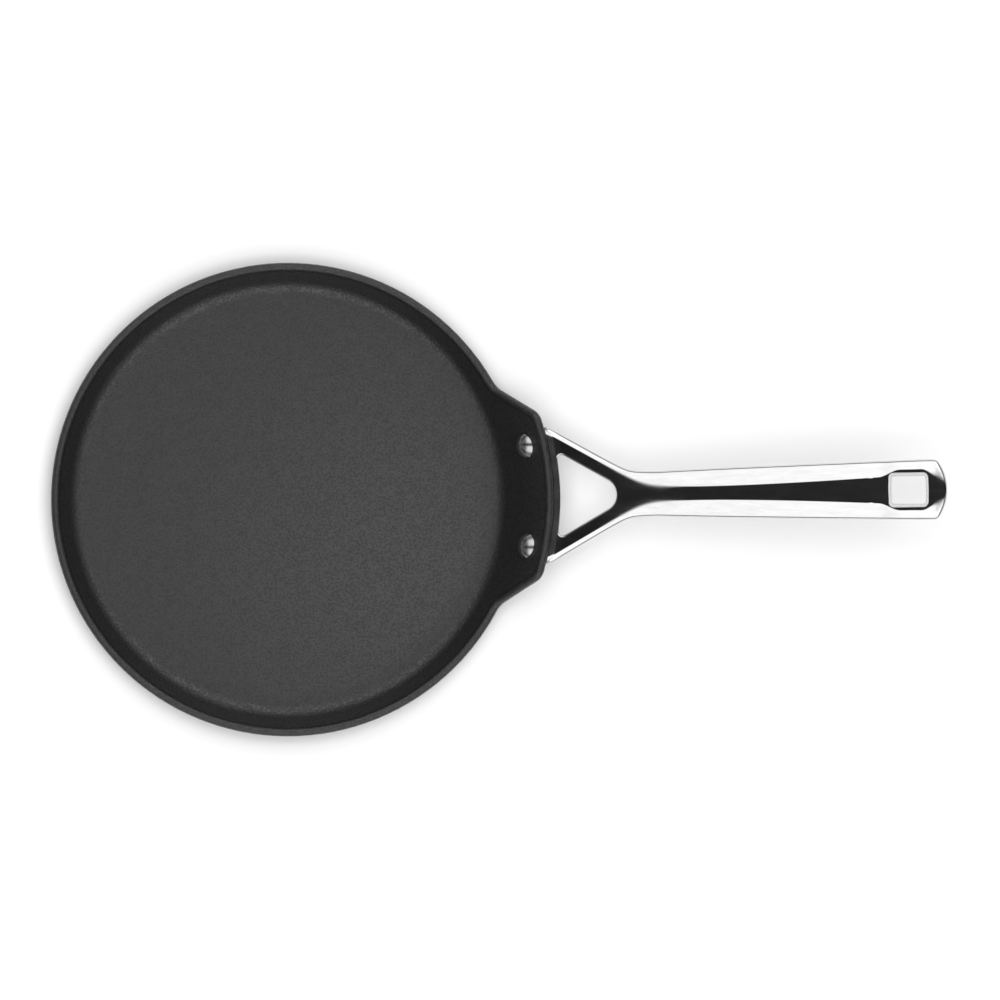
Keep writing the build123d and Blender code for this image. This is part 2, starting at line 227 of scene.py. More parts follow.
def newGroup(name, inputs, outputs):
    group = bpy.data.node_groups.new(name, "ShaderNodeTree")
    for label, value in inputs.items():
        socket = group.interface.new_socket(label, in_out="INPUT", socket_type="NodeSocketFloat")
        socket.default_value = value
    for label in outputs:
        group.interface.new_socket(label, in_out="OUTPUT", socket_type="NodeSocketFloat")
    return group, addNode(group, "NodeGroupInput", -1000, 0), addNode(group, "NodeGroupOutput", 800, 0)


def stretchedNoise(tree, stretch, scale, detail, x, y):
    # noise in the part's own space, longer where the stretch is smaller
    place = addNode(tree, "ShaderNodeTexCoord", x, y)
    mapping = addNode(tree, "ShaderNodeMapping", x + 180, y)
    mapping.inputs["Scale"].default_value = stretch
    noise = addNode(tree, "ShaderNodeTexNoise", x + 360, y)
    feed(tree, noise.inputs["Scale"], scale)
    noise.inputs["Detail"].default_value = detail
    tree.links.new(place.outputs["Object"], mapping.inputs["Vector"])
    tree.links.new(mapping.outputs["Vector"], noise.inputs["Vector"])
    return noise.outputs["Fac"]


grain = {
    "inputs": {"Grain Scale": 900.0, "Blotch Scale": 120.0, "Blotch Share": 0.35},
    "stretch": (1, 1, 1),
    "fineDetail": 2.0,
    "slowDetail": 3.0,
    "fineEdge": (0.40, 0.60),
    "slowEdge": (0.3, 0.7),
}


def makeGrainGroup():
    # fine speckle over slow blotches, as a sprayed coat or a blasted casting has
    group, given, result = newGroup("grain", grain["inputs"], ("Mask", "Height"))
    scales = given.outputs["Grain Scale"], given.outputs["Blotch Scale"]
    fine = stretchedNoise(group, grain["stretch"], scales[0], grain["fineDetail"], -800, 200)
    slow = stretchedNoise(group, grain["stretch"], scales[1], grain["slowDetail"], -800, -200)
    fine = rampBetween(group, fine, *grain["fineEdge"], -200, 200)
    slow = rampBetween(group, slow, *grain["slowEdge"], -200, -200)
    mix = addNode(group, "ShaderNodeMix", 100, 0)
    group.links.new(given.outputs["Blotch Share"], mix.inputs["Factor"])
    group.links.new(fine, mix.inputs["A"])
    group.links.new(slow, mix.inputs["B"])
    group.links.new(mix.outputs["Result"], result.inputs["Mask"])
    group.links.new(fine, result.inputs["Height"])
    return group


streaks = {
    "inputs": {"Streak Scale": 1.0, "Contrast": 0.5},
    "wide": (4, 420, 420),    # stretch along X, Y and Z
    "thin": (6, 1800, 1800),
    "wideShare": 0.6,
    "detail": 2.0,
}


def makeStreakGroup():
    # long polishing streaks that run with the handle
    group, given, result = newGroup("streaks", streaks["inputs"], ("Mask", "Height"))
    scale, detail = given.outputs["Streak Scale"], streaks["detail"]
    wide = stretchedNoise(group, streaks["wide"], scale, detail, -800, 200)
    thin = stretchedNoise(group, streaks["thin"], scale, detail, -800, -200)
    both = calculate(group, "MULTIPLY_ADD", wide, streaks["wideShare"], -200, 100)
    thinShare = calculate(group, "MULTIPLY", thin, 1 - streaks["wideShare"], -350, -200)
    group.links.new(thinShare, both.node.inputs[2])
    half = calculate(group, "MULTIPLY", given.outputs["Contrast"], 0.5, -200, -350)
    low = calculate(group, "SUBTRACT", 0.5, half, 0, -200)
    high = calculate(group, "ADD", 0.5, half, 0, -350)
    mask = rampBetween(group, both, low, high, 250, 0)
    group.links.new(mask, result.inputs["Mask"])
    group.links.new(both, result.inputs["Height"])
    return group


turnedRings = {
    "inputs": {"Rings": 900.0, "Waver": 0.4},
    "detail": 3.0,
    "edge": (0.3, 0.7),
}


def makeRingGroup():
    # fine turned rings round the pan's axis
    group, given, result = newGroup("turnedRings", turnedRings["inputs"], ("Mask", "Height"))
    place = addNode(group, "ShaderNodeTexCoord", -900, 0)
    parts = addNode(group, "ShaderNodeSeparateXYZ", -740, 0)
    group.links.new(place.outputs["Object"], parts.inputs[0])
    square = calculate(group, "MULTIPLY", parts.outputs["X"], parts.outputs["X"], -580, 100)
    other = calculate(group, "MULTIPLY", parts.outputs["Y"], parts.outputs["Y"], -580, -100)
    reach = calculate(group, "SQRT", calculate(group, "ADD", square, other, -420, 0), 0, -280, 0)
    spread = calculate(group, "MULTIPLY", reach, given.outputs["Rings"], -120, 0)
    noise = addNode(group, "ShaderNodeTexNoise", 60, 0, noise_dimensions="1D")
    noise.inputs["Scale"].default_value = 1.0
    noise.inputs["Detail"].default_value = turnedRings["detail"]
    group.links.new(spread, noise.inputs["W"])
    group.links.new(given.outputs["Waver"], noise.inputs["Roughness"])
    mask = rampBetween(group, noise.outputs["Fac"], *turnedRings["edge"], 300, 0)
    group.links.new(mask, result.inputs["Mask"])
    group.links.new(noise.outputs["Fac"], result.inputs["Height"])
    return group


grainGroup, streakGroup, ringGroup = makeGrainGroup(), makeStreakGroup(), makeRingGroup()


class Finish:
    # a Principled material and the nodes that drive it
    def __init__(self, name, colour, roughness, metallic=0.0, specular=0.5):
        self.material = bpy.data.materials.new(name)
        self.material.use_nodes = True
        self.tree = self.material.node_tree
        self.shader = self.tree.nodes["Principled BSDF"]
        self.shader.inputs["Base Color"].default_value = (*colour, 1)
        self.shader.inputs["Roughness"].default_value = roughness
        self.shader.inputs["Metallic"].default_value = metallic
        self.shader.inputs["Specular IOR Level"].default_value = specular

    def group(self, source, y, **values):
        node = addNode(self.tree, "ShaderNodeGroup", -900, y, node_tree=source)
        for label, value in values.items():
            node.inputs[label.replace("_", " ")].default_value = value
        return node

    def colourBetween(self, mask, dark, pale, y):
        mix = addNode(self.tree, "ShaderNodeMix", -400, y, data_type="RGBA")
        self.tree.links.new(mask, mix.inputs["Factor"])
        mix.inputs["A"].default_value = (*dark, 1)
        mix.inputs["B"].default_value = (*pale, 1)
        return mix.outputs["Result"]

    def link(self, socket, name):
        self.tree.links.new(socket, self.shader.inputs[name])

    def bump(self, height, strength, distance):
        bump = addNode(self.tree, "ShaderNodeBump", -400, -400)
        bump.inputs["Strength"].default_value = strength
        bump.inputs["Distance"].default_value = distance
        self.tree.links.new(height, bump.inputs["Height"])
        self.link(bump.outputs["Normal"], "Normal")

    def vary(self, source, look):
        # dark and rough where a group's mask is 0, pale and smooth where it is 1
        colour = self.colourBetween(source.outputs["Mask"], (look["dark"],) * 3, (look["pale"],) * 3, 300)
        smooth, rough = look["roughness"]
        roughness = rampBetween(self.tree, source.outputs["Mask"], 0.0, 1.0, -400, 0, rough, smooth)
        self.link(colour, "Base Color")
        self.link(roughness, "Roughness")
        self.bump(source.outputs["Height"], *look["bump"])


coatLook = {
    "dark": (0.0008, 0.0008, 0.0008),
    "pale": (0.0125, 0.0125, 0.0128),
    "roughness": (0.35, 0.53),
    "specular": 0.86,
    "bump": (1.0, 0.00008),          # strength, and depth in metres
    "grainScale": 950.0,
    "blotchScale": 260.0,
    "blotchShare": 0.2,
    "paintedLightAt": (0.055, -0.030),   # metres from the axis, round which the floor is painted a little paler: painted light, where the lamps would light it more
    "paintedLightReach": (0.0, 0.15),
    "paintedLightGain": 2.6,
    "floorEdge": (0.094, 0.106),     # metres from the axis, where the wall begins
    "bareColour": (0.62, 0.62, 0.62),
    "bareReach": 0.0955,             # metres from the axis, and above the table
    "bareBelow": 0.0006,
}


def makeCoat():
    low, high = coatLook["roughness"]
    finish = Finish("nonStickCoat", coatLook["pale"], high, specular=coatLook["specular"])
    tree = finish.tree
    speckle = finish.group(
        grainGroup, 200, Grain_Scale=coatLook["grainScale"],
        Blotch_Scale=coatLook["blotchScale"], Blotch_Share=coatLook["blotchShare"])
    colour = finish.colourBetween(speckle.outputs["Mask"], coatLook["dark"], coatLook["pale"], 300)
    place = addNode(tree, "ShaderNodeTexCoord", -1700, -100)
    parts = addNode(tree, "ShaderNodeSeparateXYZ", -1500, -100)
    tree.links.new(place.outputs["Object"], parts.inputs[0])
    across = addNode(tree, "ShaderNodeVectorMath", -1300, -100, operation="LENGTH")
    flat = addNode(tree, "ShaderNodeCombineXYZ", -1400, -250)
    tree.links.new(parts.outputs["X"], flat.inputs["X"])
    tree.links.new(parts.outputs["Y"], flat.inputs["Y"])
    tree.links.new(flat.outputs[0], across.inputs[0])
    # painted light: the floor's colour is raised round a point off the axis, standing in for lamps that
    # light its centre and right more than its left
    centre = addNode(tree, "ShaderNodeVectorMath", -1500, 200, operation="DISTANCE")
    centre.inputs[1].default_value = (*coatLook["paintedLightAt"], 0)
    tree.links.new(place.outputs["Object"], centre.inputs[0])
    paintedLightMask = rampBetween(tree, centre.outputs["Value"], *coatLook["paintedLightReach"], -1300, 200, 1.0, 0.0)
    onFloor = rampBetween(tree, across.outputs["Value"], *coatLook["floorEdge"], -900, 600, 1.0, 0.0)
    paintedLightTint = addNode(tree, "ShaderNodeMix", -200, 350, data_type="RGBA", blend_type="MULTIPLY")
    tree.links.new(calculate(tree, "MULTIPLY", paintedLightMask, onFloor, -500, 500), paintedLightTint.inputs["Factor"])
    tree.links.new(colour, paintedLightTint.inputs["A"])
    paintedLightTint.inputs["B"].default_value = (*(coatLook["paintedLightGain"],) * 3, 1)
    # the pan's own metal shows bare in the base disc's holes
    inside = calculate(tree, "LESS_THAN", across.outputs["Value"], coatLook["bareReach"], -1100, -100)
    below = calculate(tree, "LESS_THAN", parts.outputs["Z"], coatLook["bareBelow"], -1100, -300)
    bare = calculate(tree, "MULTIPLY", inside, below, -950, -200)
    shown = addNode(tree, "ShaderNodeMix", 0, 350, data_type="RGBA")
    tree.links.new(bare, shown.inputs["Factor"])
    tree.links.new(paintedLightTint.outputs["Result"], shown.inputs["A"])
    shown.inputs["B"].default_value = (*coatLook["bareColour"], 1)
    finish.link(shown.outputs["Result"], "Base Color")
    finish.link(bare, "Metallic")
    finish.link(rampBetween(tree, speckle.outputs["Mask"], 0.0, 1.0, -400, 0, high, low), "Roughness")
    finish.bump(speckle.outputs["Height"], *coatLook["bump"])
    return finish.material


polishedLook = {
    "handle": {"dark": 0.64, "pale": 0.72, "roughness": (0.06, 0.12), "streak": 1.0},
    "rivet": {"dark": 0.46, "pale": 0.52, "roughness": (0.21, 0.25), "streak": 0.4},
    "bracket": {"dark": 0.50, "pale": 0.62, "roughness": (0.14, 0.18), "streak": 0.4},
    "contrast": 0.55,
    "bump": (0.2, 0.00002),
}


def makePolished(name, kind):
    look = {"bump": polishedLook["bump"], **polishedLook[kind]}
    finish = Finish(name, (look["pale"],) * 3, look["roughness"][0], metallic=1.0)
    contrast = polishedLook["contrast"]
    finish.vary(finish.group(streakGroup, 200, Streak_Scale=look["streak"], Contrast=contrast), look)
    return finish.material


castLook = {
    "dark": 0.33,
    "pale": 0.47,
    "roughness": (0.42, 0.58),
    "bump": (0.6, 0.00006),
    "grainScale": 1400.0,
    "blotchScale": 200.0,
    "blotchShare": 0.5,
}


def makeCastSteel():
    finish = Finish("castSteel", (castLook["pale"],) * 3, castLook["roughness"][1], metallic=1.0)
    finish.vary(finish.group(
        grainGroup, 200, Grain_Scale=castLook["grainScale"],
        Blotch_Scale=castLook["blotchScale"], Blotch_Share=castLook["blotchShare"]), castLook)
    return finish.material


turnedLook = {
    "dark": 0.46,
    "pale": 0.58,
    "roughness": (0.26, 0.42),
    "bump": (0.5, 0.00004),
    "rings": 900.0,
    "waver": 0.5,
}


def makeTurnedSteel():
    finish = Finish("turnedSteel", (turnedLook["pale"],) * 3, turnedLook["roughness"][0], metallic=1.0)
    rings = finish.group(ringGroup, 200, Rings=turnedLook["rings"], Waver=turnedLook["waver"])
    finish.vary(rings, turnedLook)
    return finish.material


def dress(name, material):
    node = nodes[name]
    node.data.materials.clear()
    node.data.materials.append(material)


polished = makePolished("polishedSteel", "handle")
rivetSteel = makePolished("rivetSteel", "rivet")
bracketSteel = makePolished("bracketSteel", "bracket")
castSteel = makeCastSteel()
dress("pan_body", makeCoat())
dress("rivet_left", rivetSteel)
dress("rivet_right", rivetSteel)
dress("base_disc", makeTurnedSteel())
print("finishes made")

# the handle, in millimetres: a flat polished top between two facets, along an arc that levels off
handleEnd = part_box("handle")[1].x / mm
bar = {
    "rootX": 138.1,          # the bracket's outer edge
    "rootTop": 30.32,
    "rootLevel": 29.9,       # the arms run level into the bracket
    "rootBlend": 0.15,
    "rootPitch": 17,         # degrees
    "endPitch": 3,
    "forkHalf": 31.5,        # half across the arms' outer sides at the bracket
    "forkAngle": 30,
    "neckHalf": 11.3,
    "neckBlend": 1.25,
    "neckEnd": 188.3,
    "widestAt": 320.0,
    "gripHalf": 15.3,
    "growthPower": 0.8,
    "earFace": 134.95,       # radius of the face against the ear's lip
    "rootCorner": 1.8,
    "endArc": 25.0,
    "endCorner": 3.0,
}
flatTop = {
    "armHalf": 27.8,
    "neckHalf": 3.1,
    "neckBlend": 2.5,
    "grows": (205.0, 302.0),
    "growth": 3.6,
    "growthPower": 1.5,
    "growthLimit": 1.1,
    "besideHole": 10.3,
    "swells": (299.5, 310.5),
    "atEnd": 2.6,
    "narrows": (321.0, 332.5),
}
facet = {
    "slope": 0.40,
    "endSlope": 0.10,
    "eases": (314.0, 330.5),
    "endFall": 5.0,          # from the end, where the top starts to fall off
    "endRound": 10.0,
}
crease = {
    "sharp": 0.28,           # half the width that the crease is rounded over
    "soft": 4.0,
    "softens": (152.0, 176.0),
    "hardens": (186.0, 206.0),
    "atEnd": 1.8,
    "endSoftens": (318.0, 331.0),
    "outward": 0.6,
}
edges = {                    # radii of the rounded edges
    "side": 1.9,
    "ear": 0.4,
    "earBlend": 3.0,         # from the ear's face, where the side's radius is reached
    "fork": 0.9,
    "hole": 0.45,
    "readAt": 0.6,           # share of the radius, inside the edge, where the top's slope is read
    "steps": 7,
}
openings = {
    "bracketEdge": 138.3,    # radius of the side nearest the pan
    "forkHalf": 21.3,        # half across the opening, where its sides would meet the bracket
    "forkCorner": 2.0,
    "forkApex": 8.4,
    "forkDraft": 4,          # degrees that the walls close in downward
    "holeLength": 19.7,
    "holeWidth": 16.7,
    "holeFromEnd": 9.9,
    "holeCorner": 2.5,
    "holeBulge": 0.3,
    "holeSideRound": 37.5,
    "holeDraft": 8,
}
depth = {
    "root": 4.6,
    "grip": 11.4,
    "end": 9.8,
    "arms": (136.0, 196.0),
    "tail": (300.0, 334.0),
    "edge": 1.5,
}
relief = {
    "from": 191.0,
    "to": 296.0,
    "side": 3.4,
    "wall": 3.2,
    "corner": 3.0,
    "draft": 0.7,
}
grid = {                     # spacing of the handle's points
    "along": 1.6,
    "loop": 0.8,
    "least": 0.016,
    "clear": 0.22,
    "snap": 1e-5,
    "beforeRoot": 6,
    "beforeEnd": 1,
    "nudge": 0.01,
    "creaseRows": (-6, -2.5, -1, -0.4, 0, 0.4, 1, 2.5, 6),  # in widths of the crease
    "flatRows": (0.3, 0.6),                                 # shares of the flat's half
    "facetRows": (0.3, 0.55, 0.8),                          # shares of the facet's width
}

forkSlope = tan(radians(bar["forkAngle"]))
barRadius = (handleEnd - bar["rootX"]) / (sin(radians(bar["rootPitch"])) - sin(radians(bar["endPitch"])))


def smoothStep(x, span):
    part = np.clip((x - span[0]) / (span[1] - span[0]), 0, 1)
    return part * part * (3 - 2 * part)


def softMax(first, second, blend):
    return second + (first - second + np.hypot(first - second, 2 * blend)) / 2


def topHeight(x):
    pitch = np.arcsin(sin(radians(bar["rootPitch"])) - (x - bar["rootX"]) / barRadius)
    height = bar["rootTop"] + barRadius * (np.cos(pitch) - cos(radians(bar["rootPitch"])))
    return softMax(height, bar["rootLevel"], bar["rootBlend"])


def halfWidth(x):
    growth = np.clip((x - bar["neckEnd"]) / (bar["widestAt"] - bar["neckEnd"]), 0, 1) ** bar["growthPower"]
    grip = bar["neckHalf"] + (bar["gripHalf"] - bar["neckHalf"]) * growth
    return softMax(bar["forkHalf"] - forkSlope * (x - bar["rootX"]), grip, bar["neckBlend"])


def flatHalf(x):
    start, end = flatTop["grows"]
    growth = np.clip((x - start) / (end - start), 0, flatTop["growthLimit"]) ** flatTop["growthPower"]
    grip = flatTop["neckHalf"] + flatTop["growth"] * growth
    grip = grip + (flatTop["besideHole"] - grip) * smoothStep(x, flatTop["swells"])
    grip = grip + (flatTop["atEnd"] - grip) * smoothStep(x, flatTop["narrows"])
    return softMax(flatTop["armHalf"] - forkSlope * (x - bar["rootX"]), grip, flatTop["neckBlend"])


def creaseWidth(x):
    softened = smoothStep(x, crease["softens"]) * (1 - smoothStep(x, crease["hardens"]))
    width = crease["sharp"] + (crease["soft"] - crease["sharp"]) * softened
    return width + (crease["atEnd"] - width) * smoothStep(x, crease["endSoftens"])


def topFace(x, y):
    beyond = np.abs(y) - flatHalf(x) - crease["outward"] * creaseWidth(x)
    slope = facet["slope"] + (facet["endSlope"] - facet["slope"]) * smoothStep(x, facet["eases"])
    fall = np.clip(x - handleEnd + facet["endFall"], 0, None) ** 2 / (2 * facet["endRound"])
    return topHeight(x) - fall - slope * (beyond + np.hypot(beyond, creaseWidth(x))) / 2


def belly(x):
    deep = depth["root"] + (depth["grip"] - depth["root"]) * smoothStep(x, depth["arms"])
    return topHeight(x) - deep - (depth["end"] - depth["grip"]) * smoothStep(x, depth["tail"])


def slopeOf(face, x, y):
    nudge = grid["nudge"]
    lengthwise = (face(x + nudge, y) - face(x - nudge, y)) / (2 * nudge)
    sideways = (face(x, y + nudge) - face(x, y - nudge)) / (2 * nudge)
    return lengthwise, sideways


def arcBetween(centre, radius, start, end):
    count = max(2, int(abs(end - start) * radius / grid["loop"]) + 1)
    turns = np.linspace(start, end, count + 1)
    return [(centre[0] + radius * cos(turn), centre[1] + radius * sin(turn)) for turn in turns]


def roundCorners(corners):
    # each corner is a point and the radius that rounds it
    loop = []
    for i, (corner, radius) in enumerate(corners):
        corner = Vector(corner)
        before = (Vector(corners[i - 1][0]) - corner).normalized()
        after = (Vector(corners[(i + 1) % len(corners)][0]) - corner).normalized()
        half = before.angle(after) / 2
        centre = corner + (before + after).normalized() * (radius / sin(half))
        reach = radius / tan(half)
        start, end = corner + before * reach - centre, corner + after * reach - centre
        first = atan2(start.y, start.x)
        turn = (atan2(end.y, end.x) - first + pi) % (2 * pi) - pi
        loop += arcBetween(centre, radius, first, first + turn)
    return loop


def walkEvenly(loop):
    # spreads points along the straight stretches of a closed loop
    walked = []
    for point, following in zip(loop, loop[1:] + loop[:1]):
        span = hypot(following[0] - point[0], following[1] - point[1])
        if span > grid["least"]:
            pieces = max(1, round(span / grid["loop"]))
            for k in range(pieces):
                part = k / pieces
                walked.append(tuple(a + (b - a) * part for a, b in zip(point, following)))
    return np.array(walked)


def mirrored(points):
    return [(x, -y) for x, y in reversed(points)]


def slantCorner(lineX, lineY, reach, corner):
    # centre of the arc that joins a line along an arm to a circle about the pan's axis, outside it
    slant = radians(bar["forkAngle"])
    inset = lineX * sin(slant) + lineY * cos(slant) - corner
    along = sqrt((reach + corner) ** 2 - inset ** 2)
    return sin(slant) * inset + cos(slant) * along, cos(slant) * inset - sin(slant) * along


def barOutline():
    # anticlockwise from the end round the left side, along the ear's face and back
    centre = (handleEnd - bar["endArc"], 0)
    cornerY = bar["gripHalf"] - bar["endCorner"]
    cornerX = centre[0] + sqrt((bar["endArc"] - bar["endCorner"]) ** 2 - cornerY ** 2)
    turn = atan2(cornerY, cornerX - centre[0])
    slant = radians(bar["forkAngle"])
    root = slantCorner(bar["rootX"], bar["forkHalf"], bar["earFace"], bar["rootCorner"])
    rootTurn = atan2(root[1], root[0])
    rootX = root[0] + bar["rootCorner"] * sin(slant)
    steps = int((cornerX - rootX) / grid["loop"])
    left = arcBetween(centre, bar["endArc"], 0, turn)
    left += arcBetween((cornerX, cornerY), bar["endCorner"], turn, pi / 2)[1:]
    left += [(x, float(halfWidth(x))) for x in np.linspace(cornerX, rootX, steps)][1:]
    left += arcBetween(root, bar["rootCorner"], pi / 2 - slant, pi + rootTurn)[1:]
    face = arcBetween((0, 0), bar["earFace"], rootTurn, -rootTurn)[1:-1]
    return np.array(left + face + mirrored(left[1:]))


def forkOpening():
    # anticlockwise from the tip: arc, straight side, corner, then the bracket's edge
    slant = radians(bar["forkAngle"])
    tip = bar["rootX"] + openings["forkHalf"] / forkSlope
    apex = openings["forkApex"]
    tipArc = arcBetween((tip - apex / sin(slant), 0), apex, 0, pi / 2 - slant)
    corner = slantCorner(tip, 0, openings["bracketEdge"], openings["forkCorner"])
    cornerTurn = atan2(corner[1], corner[0])
    upper = tipArc + arcBetween(corner, openings["forkCorner"], pi / 2 - slant, pi + cornerTurn)
    back = arcBetween((0, 0), openings["bracketEdge"], cornerTurn, -cornerTurn)[1:-1]
    return walkEvenly(upper + back + mirrored(upper[1:]))


def hangingHole():
    far = handleEnd - openings["holeFromEnd"]
    near = far - openings["holeLength"]
    half = openings["holeWidth"] / 2
    bulge, corner, side = (openings[name] for name in ("holeBulge", "holeCorner", "holeSideRound"))
    return walkEvenly(roundCorners([
        ((far, -half), corner), ((far + bulge, 0), side), ((far, half), corner),
        ((near, half), corner), ((near - bulge, 0), side), ((near, -half), corner),
    ]))


def reliefOutline(inset):
    near, far = relief["from"] + inset, relief["to"] - inset
    nearHalf, farHalf = (float(halfWidth(x)) - relief["side"] - inset for x in (near, far))
    corner = relief["corner"] - inset
    return walkEvenly(roundCorners([
        ((far, -farHalf), corner), ((far, farHalf), corner),
        ((near, nearHalf), corner), ((near, -nearHalf), corner),
    ]))


def isInside(points, loop):
    x, y = points[:, 0, None], points[:, 1, None]
    ax, ay = loop[:, 0], loop[:, 1]
    bx, by = np.roll(ax, -1), np.roll(ay, -1)
    straddles = (ay > y) != (by > y)
    crossing = ax + (y - ay) * (bx - ax) / np.where(by == ay, 1, by - ay)
    return (straddles & (crossing > x)).sum(axis=1) % 2 == 1


def distanceTo(points, loop):
    step = np.roll(loop, -1, axis=0) - loop
    away = points[:, None] - loop
    share = np.clip((away * step).sum(2) / (step ** 2).sum(1), 0, 1)
    return np.hypot(*np.moveaxis(away - share[..., None] * step, 2, 0)).min(axis=1)


def roundedEdge(loop, radius, draft, outside):
    # rows of points that round an edge over, from the surface it leaves to the edge itself
    along = np.roll(loop, -1, axis=0) - np.roll(loop, 1, axis=0)
    along /= np.hypot(*along.T)[:, None]
    out = np.column_stack((along[:, 1], -along[:, 0])) * (1 if outside else -1)
    inner = loop - out * (edges["readAt"] * radius)[:, None]
    falls = -(np.column_stack(slopeOf(topFace, *inner.T)) * out).sum(1)
    startTilt, endTilt = np.arctan(falls), pi / 2 - radians(draft)
    rows = []
    for part in np.linspace(0, 1, edges["steps"]):
        tilt = startTilt + (endTilt - startTilt) * part
        inset = radius * (np.sin(endTilt) - np.sin(tilt))
        whole = radius * (np.sin(endTilt) - np.sin(startTilt))
        places = loop - out * inset[:, None]
        fall = radius * (np.cos(startTilt) - np.cos(tilt)) - falls * (whole - inset)
        slope = np.column_stack(slopeOf(topFace, *places.T))
        slope -= out * (slope * out).sum(1)[:, None]
        level = out * np.sin(tilt)[:, None] - slope * np.cos(tilt)[:, None]
        normal = np.column_stack((level, np.cos(tilt)))
        under = np.minimum(radius, depth["edge"])
        lean = np.arcsin(np.clip(1 - inset / under, 0, 1))
        rows.append({
            "places": places,
            "top": topFace(*places.T) - fall,
            "normal": normal / np.linalg.norm(normal, axis=1)[:, None],
            "bottom": belly(places[:, 0]) + under * (1 - np.cos(lean)),
            "underNormal": np.column_stack((out * np.sin(lean)[:, None], -np.cos(lean))),
        })
    for row in rows:
        row["shift"] = out * ((rows[-1]["top"] - rows[-1]["bottom"]) * tan(radians(draft)))[:, None]
    return rows


def isClear(points, bounds, reliefLoops):
    # true for points on the handle that no rim comes close to
    kept = ~np.isnan(points[:, 1])
    points = np.nan_to_num(points)
    kept &= isInside(points, bounds["side"])
    for opening in ("fork", "hole"):
        kept &= ~isInside(points, bounds[opening])
    for loop in [*bounds.values(), *reliefLoops]:
        kept &= distanceTo(points, loop) > grid["clear"]
    return kept & (isInside(points, reliefLoops[0]) == isInside(points, reliefLoops[1]))


def surfaceRows(bounds, reliefLoops):
    # rows of points along the crease between flat and facet, and looser ones over the rest
    columns = np.arange(bar["rootX"] - grid["beforeRoot"], handleEnd - grid["beforeEnd"], grid["along"])
    flat, width = flatHalf(columns), creaseWidth(columns)
    creases = [flat + width * share for share in grid["creaseRows"]]
    loose = [flat * share for share in grid["flatRows"]]
    loose += [flat + (halfWidth(columns) - flat) * share for share in grid["facetRows"]]
    places, links = [np.column_stack((columns, 0 * columns))], []
    count = len(columns)
    for row in creases:
        row = np.where(row > 2 * grid["clear"], row, np.nan)
        for side in (1, -1):
            start = sum(map(len, places))
            places.append(np.column_stack((columns, side * row)))
            links += [(start + k, start + k + 1) for k in range(count - 1)]
    for row in loose:
        near = np.min([np.abs(row - other) for other in creases], axis=0) < 2 * grid["clear"]
        row = np.where(near, np.nan, row)
        for side in (1, -1):
            places.append(np.column_stack((columns, side * row)))
    places = np.vstack(places)
    kept = isClear(places, bounds, reliefLoops)
    middles = (places[[a for a, b in links]] + places[[b for a, b in links]]) / 2
    linked = isClear(middles, bounds, reliefLoops)
    index = np.cumsum(kept) - 1
    links = [(int(index[a]), int(index[b])) for (a, b), fits in zip(links, linked)
             if fits and kept[a] and kept[b]]
    return places[kept], links


def describe(points, under, underSlope):
    # a row with its heights and normals, above and below
    slope = np.column_stack(slopeOf(topFace, *points.T))
    up = np.column_stack((-slope, np.ones(len(points))))
    down = np.column_stack((underSlope, -np.ones(len(points))))
    return {
        "places": points,
        "top": topFace(*points.T),
        "normal": up / np.linalg.norm(up, axis=1)[:, None],
        "bottom": under,
        "underNormal": down / np.linalg.norm(down, axis=1)[:, None],
        "shift": np.zeros_like(points),
    }


def bellyRow(points):
    slope = slopeOf(lambda x, y: belly(x), *points.T)
    return describe(points, belly(points[:, 0]), np.column_stack(slope))


def reliefRow(points):
    slope = slopeOf(topFace, *points.T)
    return describe(points, topFace(*points.T) - relief["wall"], np.column_stack(slope))


def surfaceRow(points, within):
    row, hollow = bellyRow(points), reliefRow(points)
    row["bottom"] = np.where(within, hollow["bottom"], row["bottom"])
    row["underNormal"] = np.where(within[:, None], hollow["underNormal"], row["underNormal"])
    return row


def addRow(rows, row):
    # returns the numbers of the row's points
    start = sum(len(other["places"]) for other in rows)
    rows.append(row)
    return list(range(start, start + len(row["places"])))


def neighbours(rim):
    return list(zip(rim, rim[1:] + rim[:1]))


def coverSheet(places, links, rims):
    # triangles between the rows, with the openings left free
    corners = [Vector(place) for place in places]
    spread, _, sheet, _, _, _ = delaunay_2d_cdt(corners, links, [], 1, grid["snap"])
    if len(spread) != len(places):
        raise ValueError("rows of the handle's points cross")
    free = [set(rims["fork"]), set(rims["hole"])]
    return [face for face in sheet if not any(rim.issuperset(face) for rim in free)]


def closeBar(part, sheet, rims, reliefRims, ceiling):
    # the sheet as top and belly with walls between; also tells which faces are left as cast
    count = len(part["places"])
    points = [(x, y, z) for (x, y), z in zip(part["places"], part["top"])]
    points += [(x, y, z) for (x, y), z in zip(part["places"] + part["shift"], part["bottom"])]
    normals = np.vstack((part["normal"], part["underNormal"]))
    faces = [tuple(face) for face in sheet] + [tuple(i + count for i in reversed(face)) for face in sheet]
    for name, rim in rims.items():
        for a, b in neighbours(rim):
            faces.append((b, a, a + count, b + count) if name == "side" else (a, b, b + count, a + count))
    mouthRim, ceilingRim = (set(i + count for i in rim) for rim in reliefRims)
    hollowed = ceilingRim | {i + count for i in ceiling}
    cast = [bool(hollowed.intersection(face)) for face in faces]
    corners = []
    for face in faces:
        if mouthRim.intersection(face) and ceilingRim.intersection(face):
            a, b, c = (Vector(points[i]) for i in face[:3])
            corners += [tuple((b - a).cross(c - a).normalized())] * len(face)
        else:
            corners += [tuple(normals[i]) for i in face]
    return points, faces, corners, cast


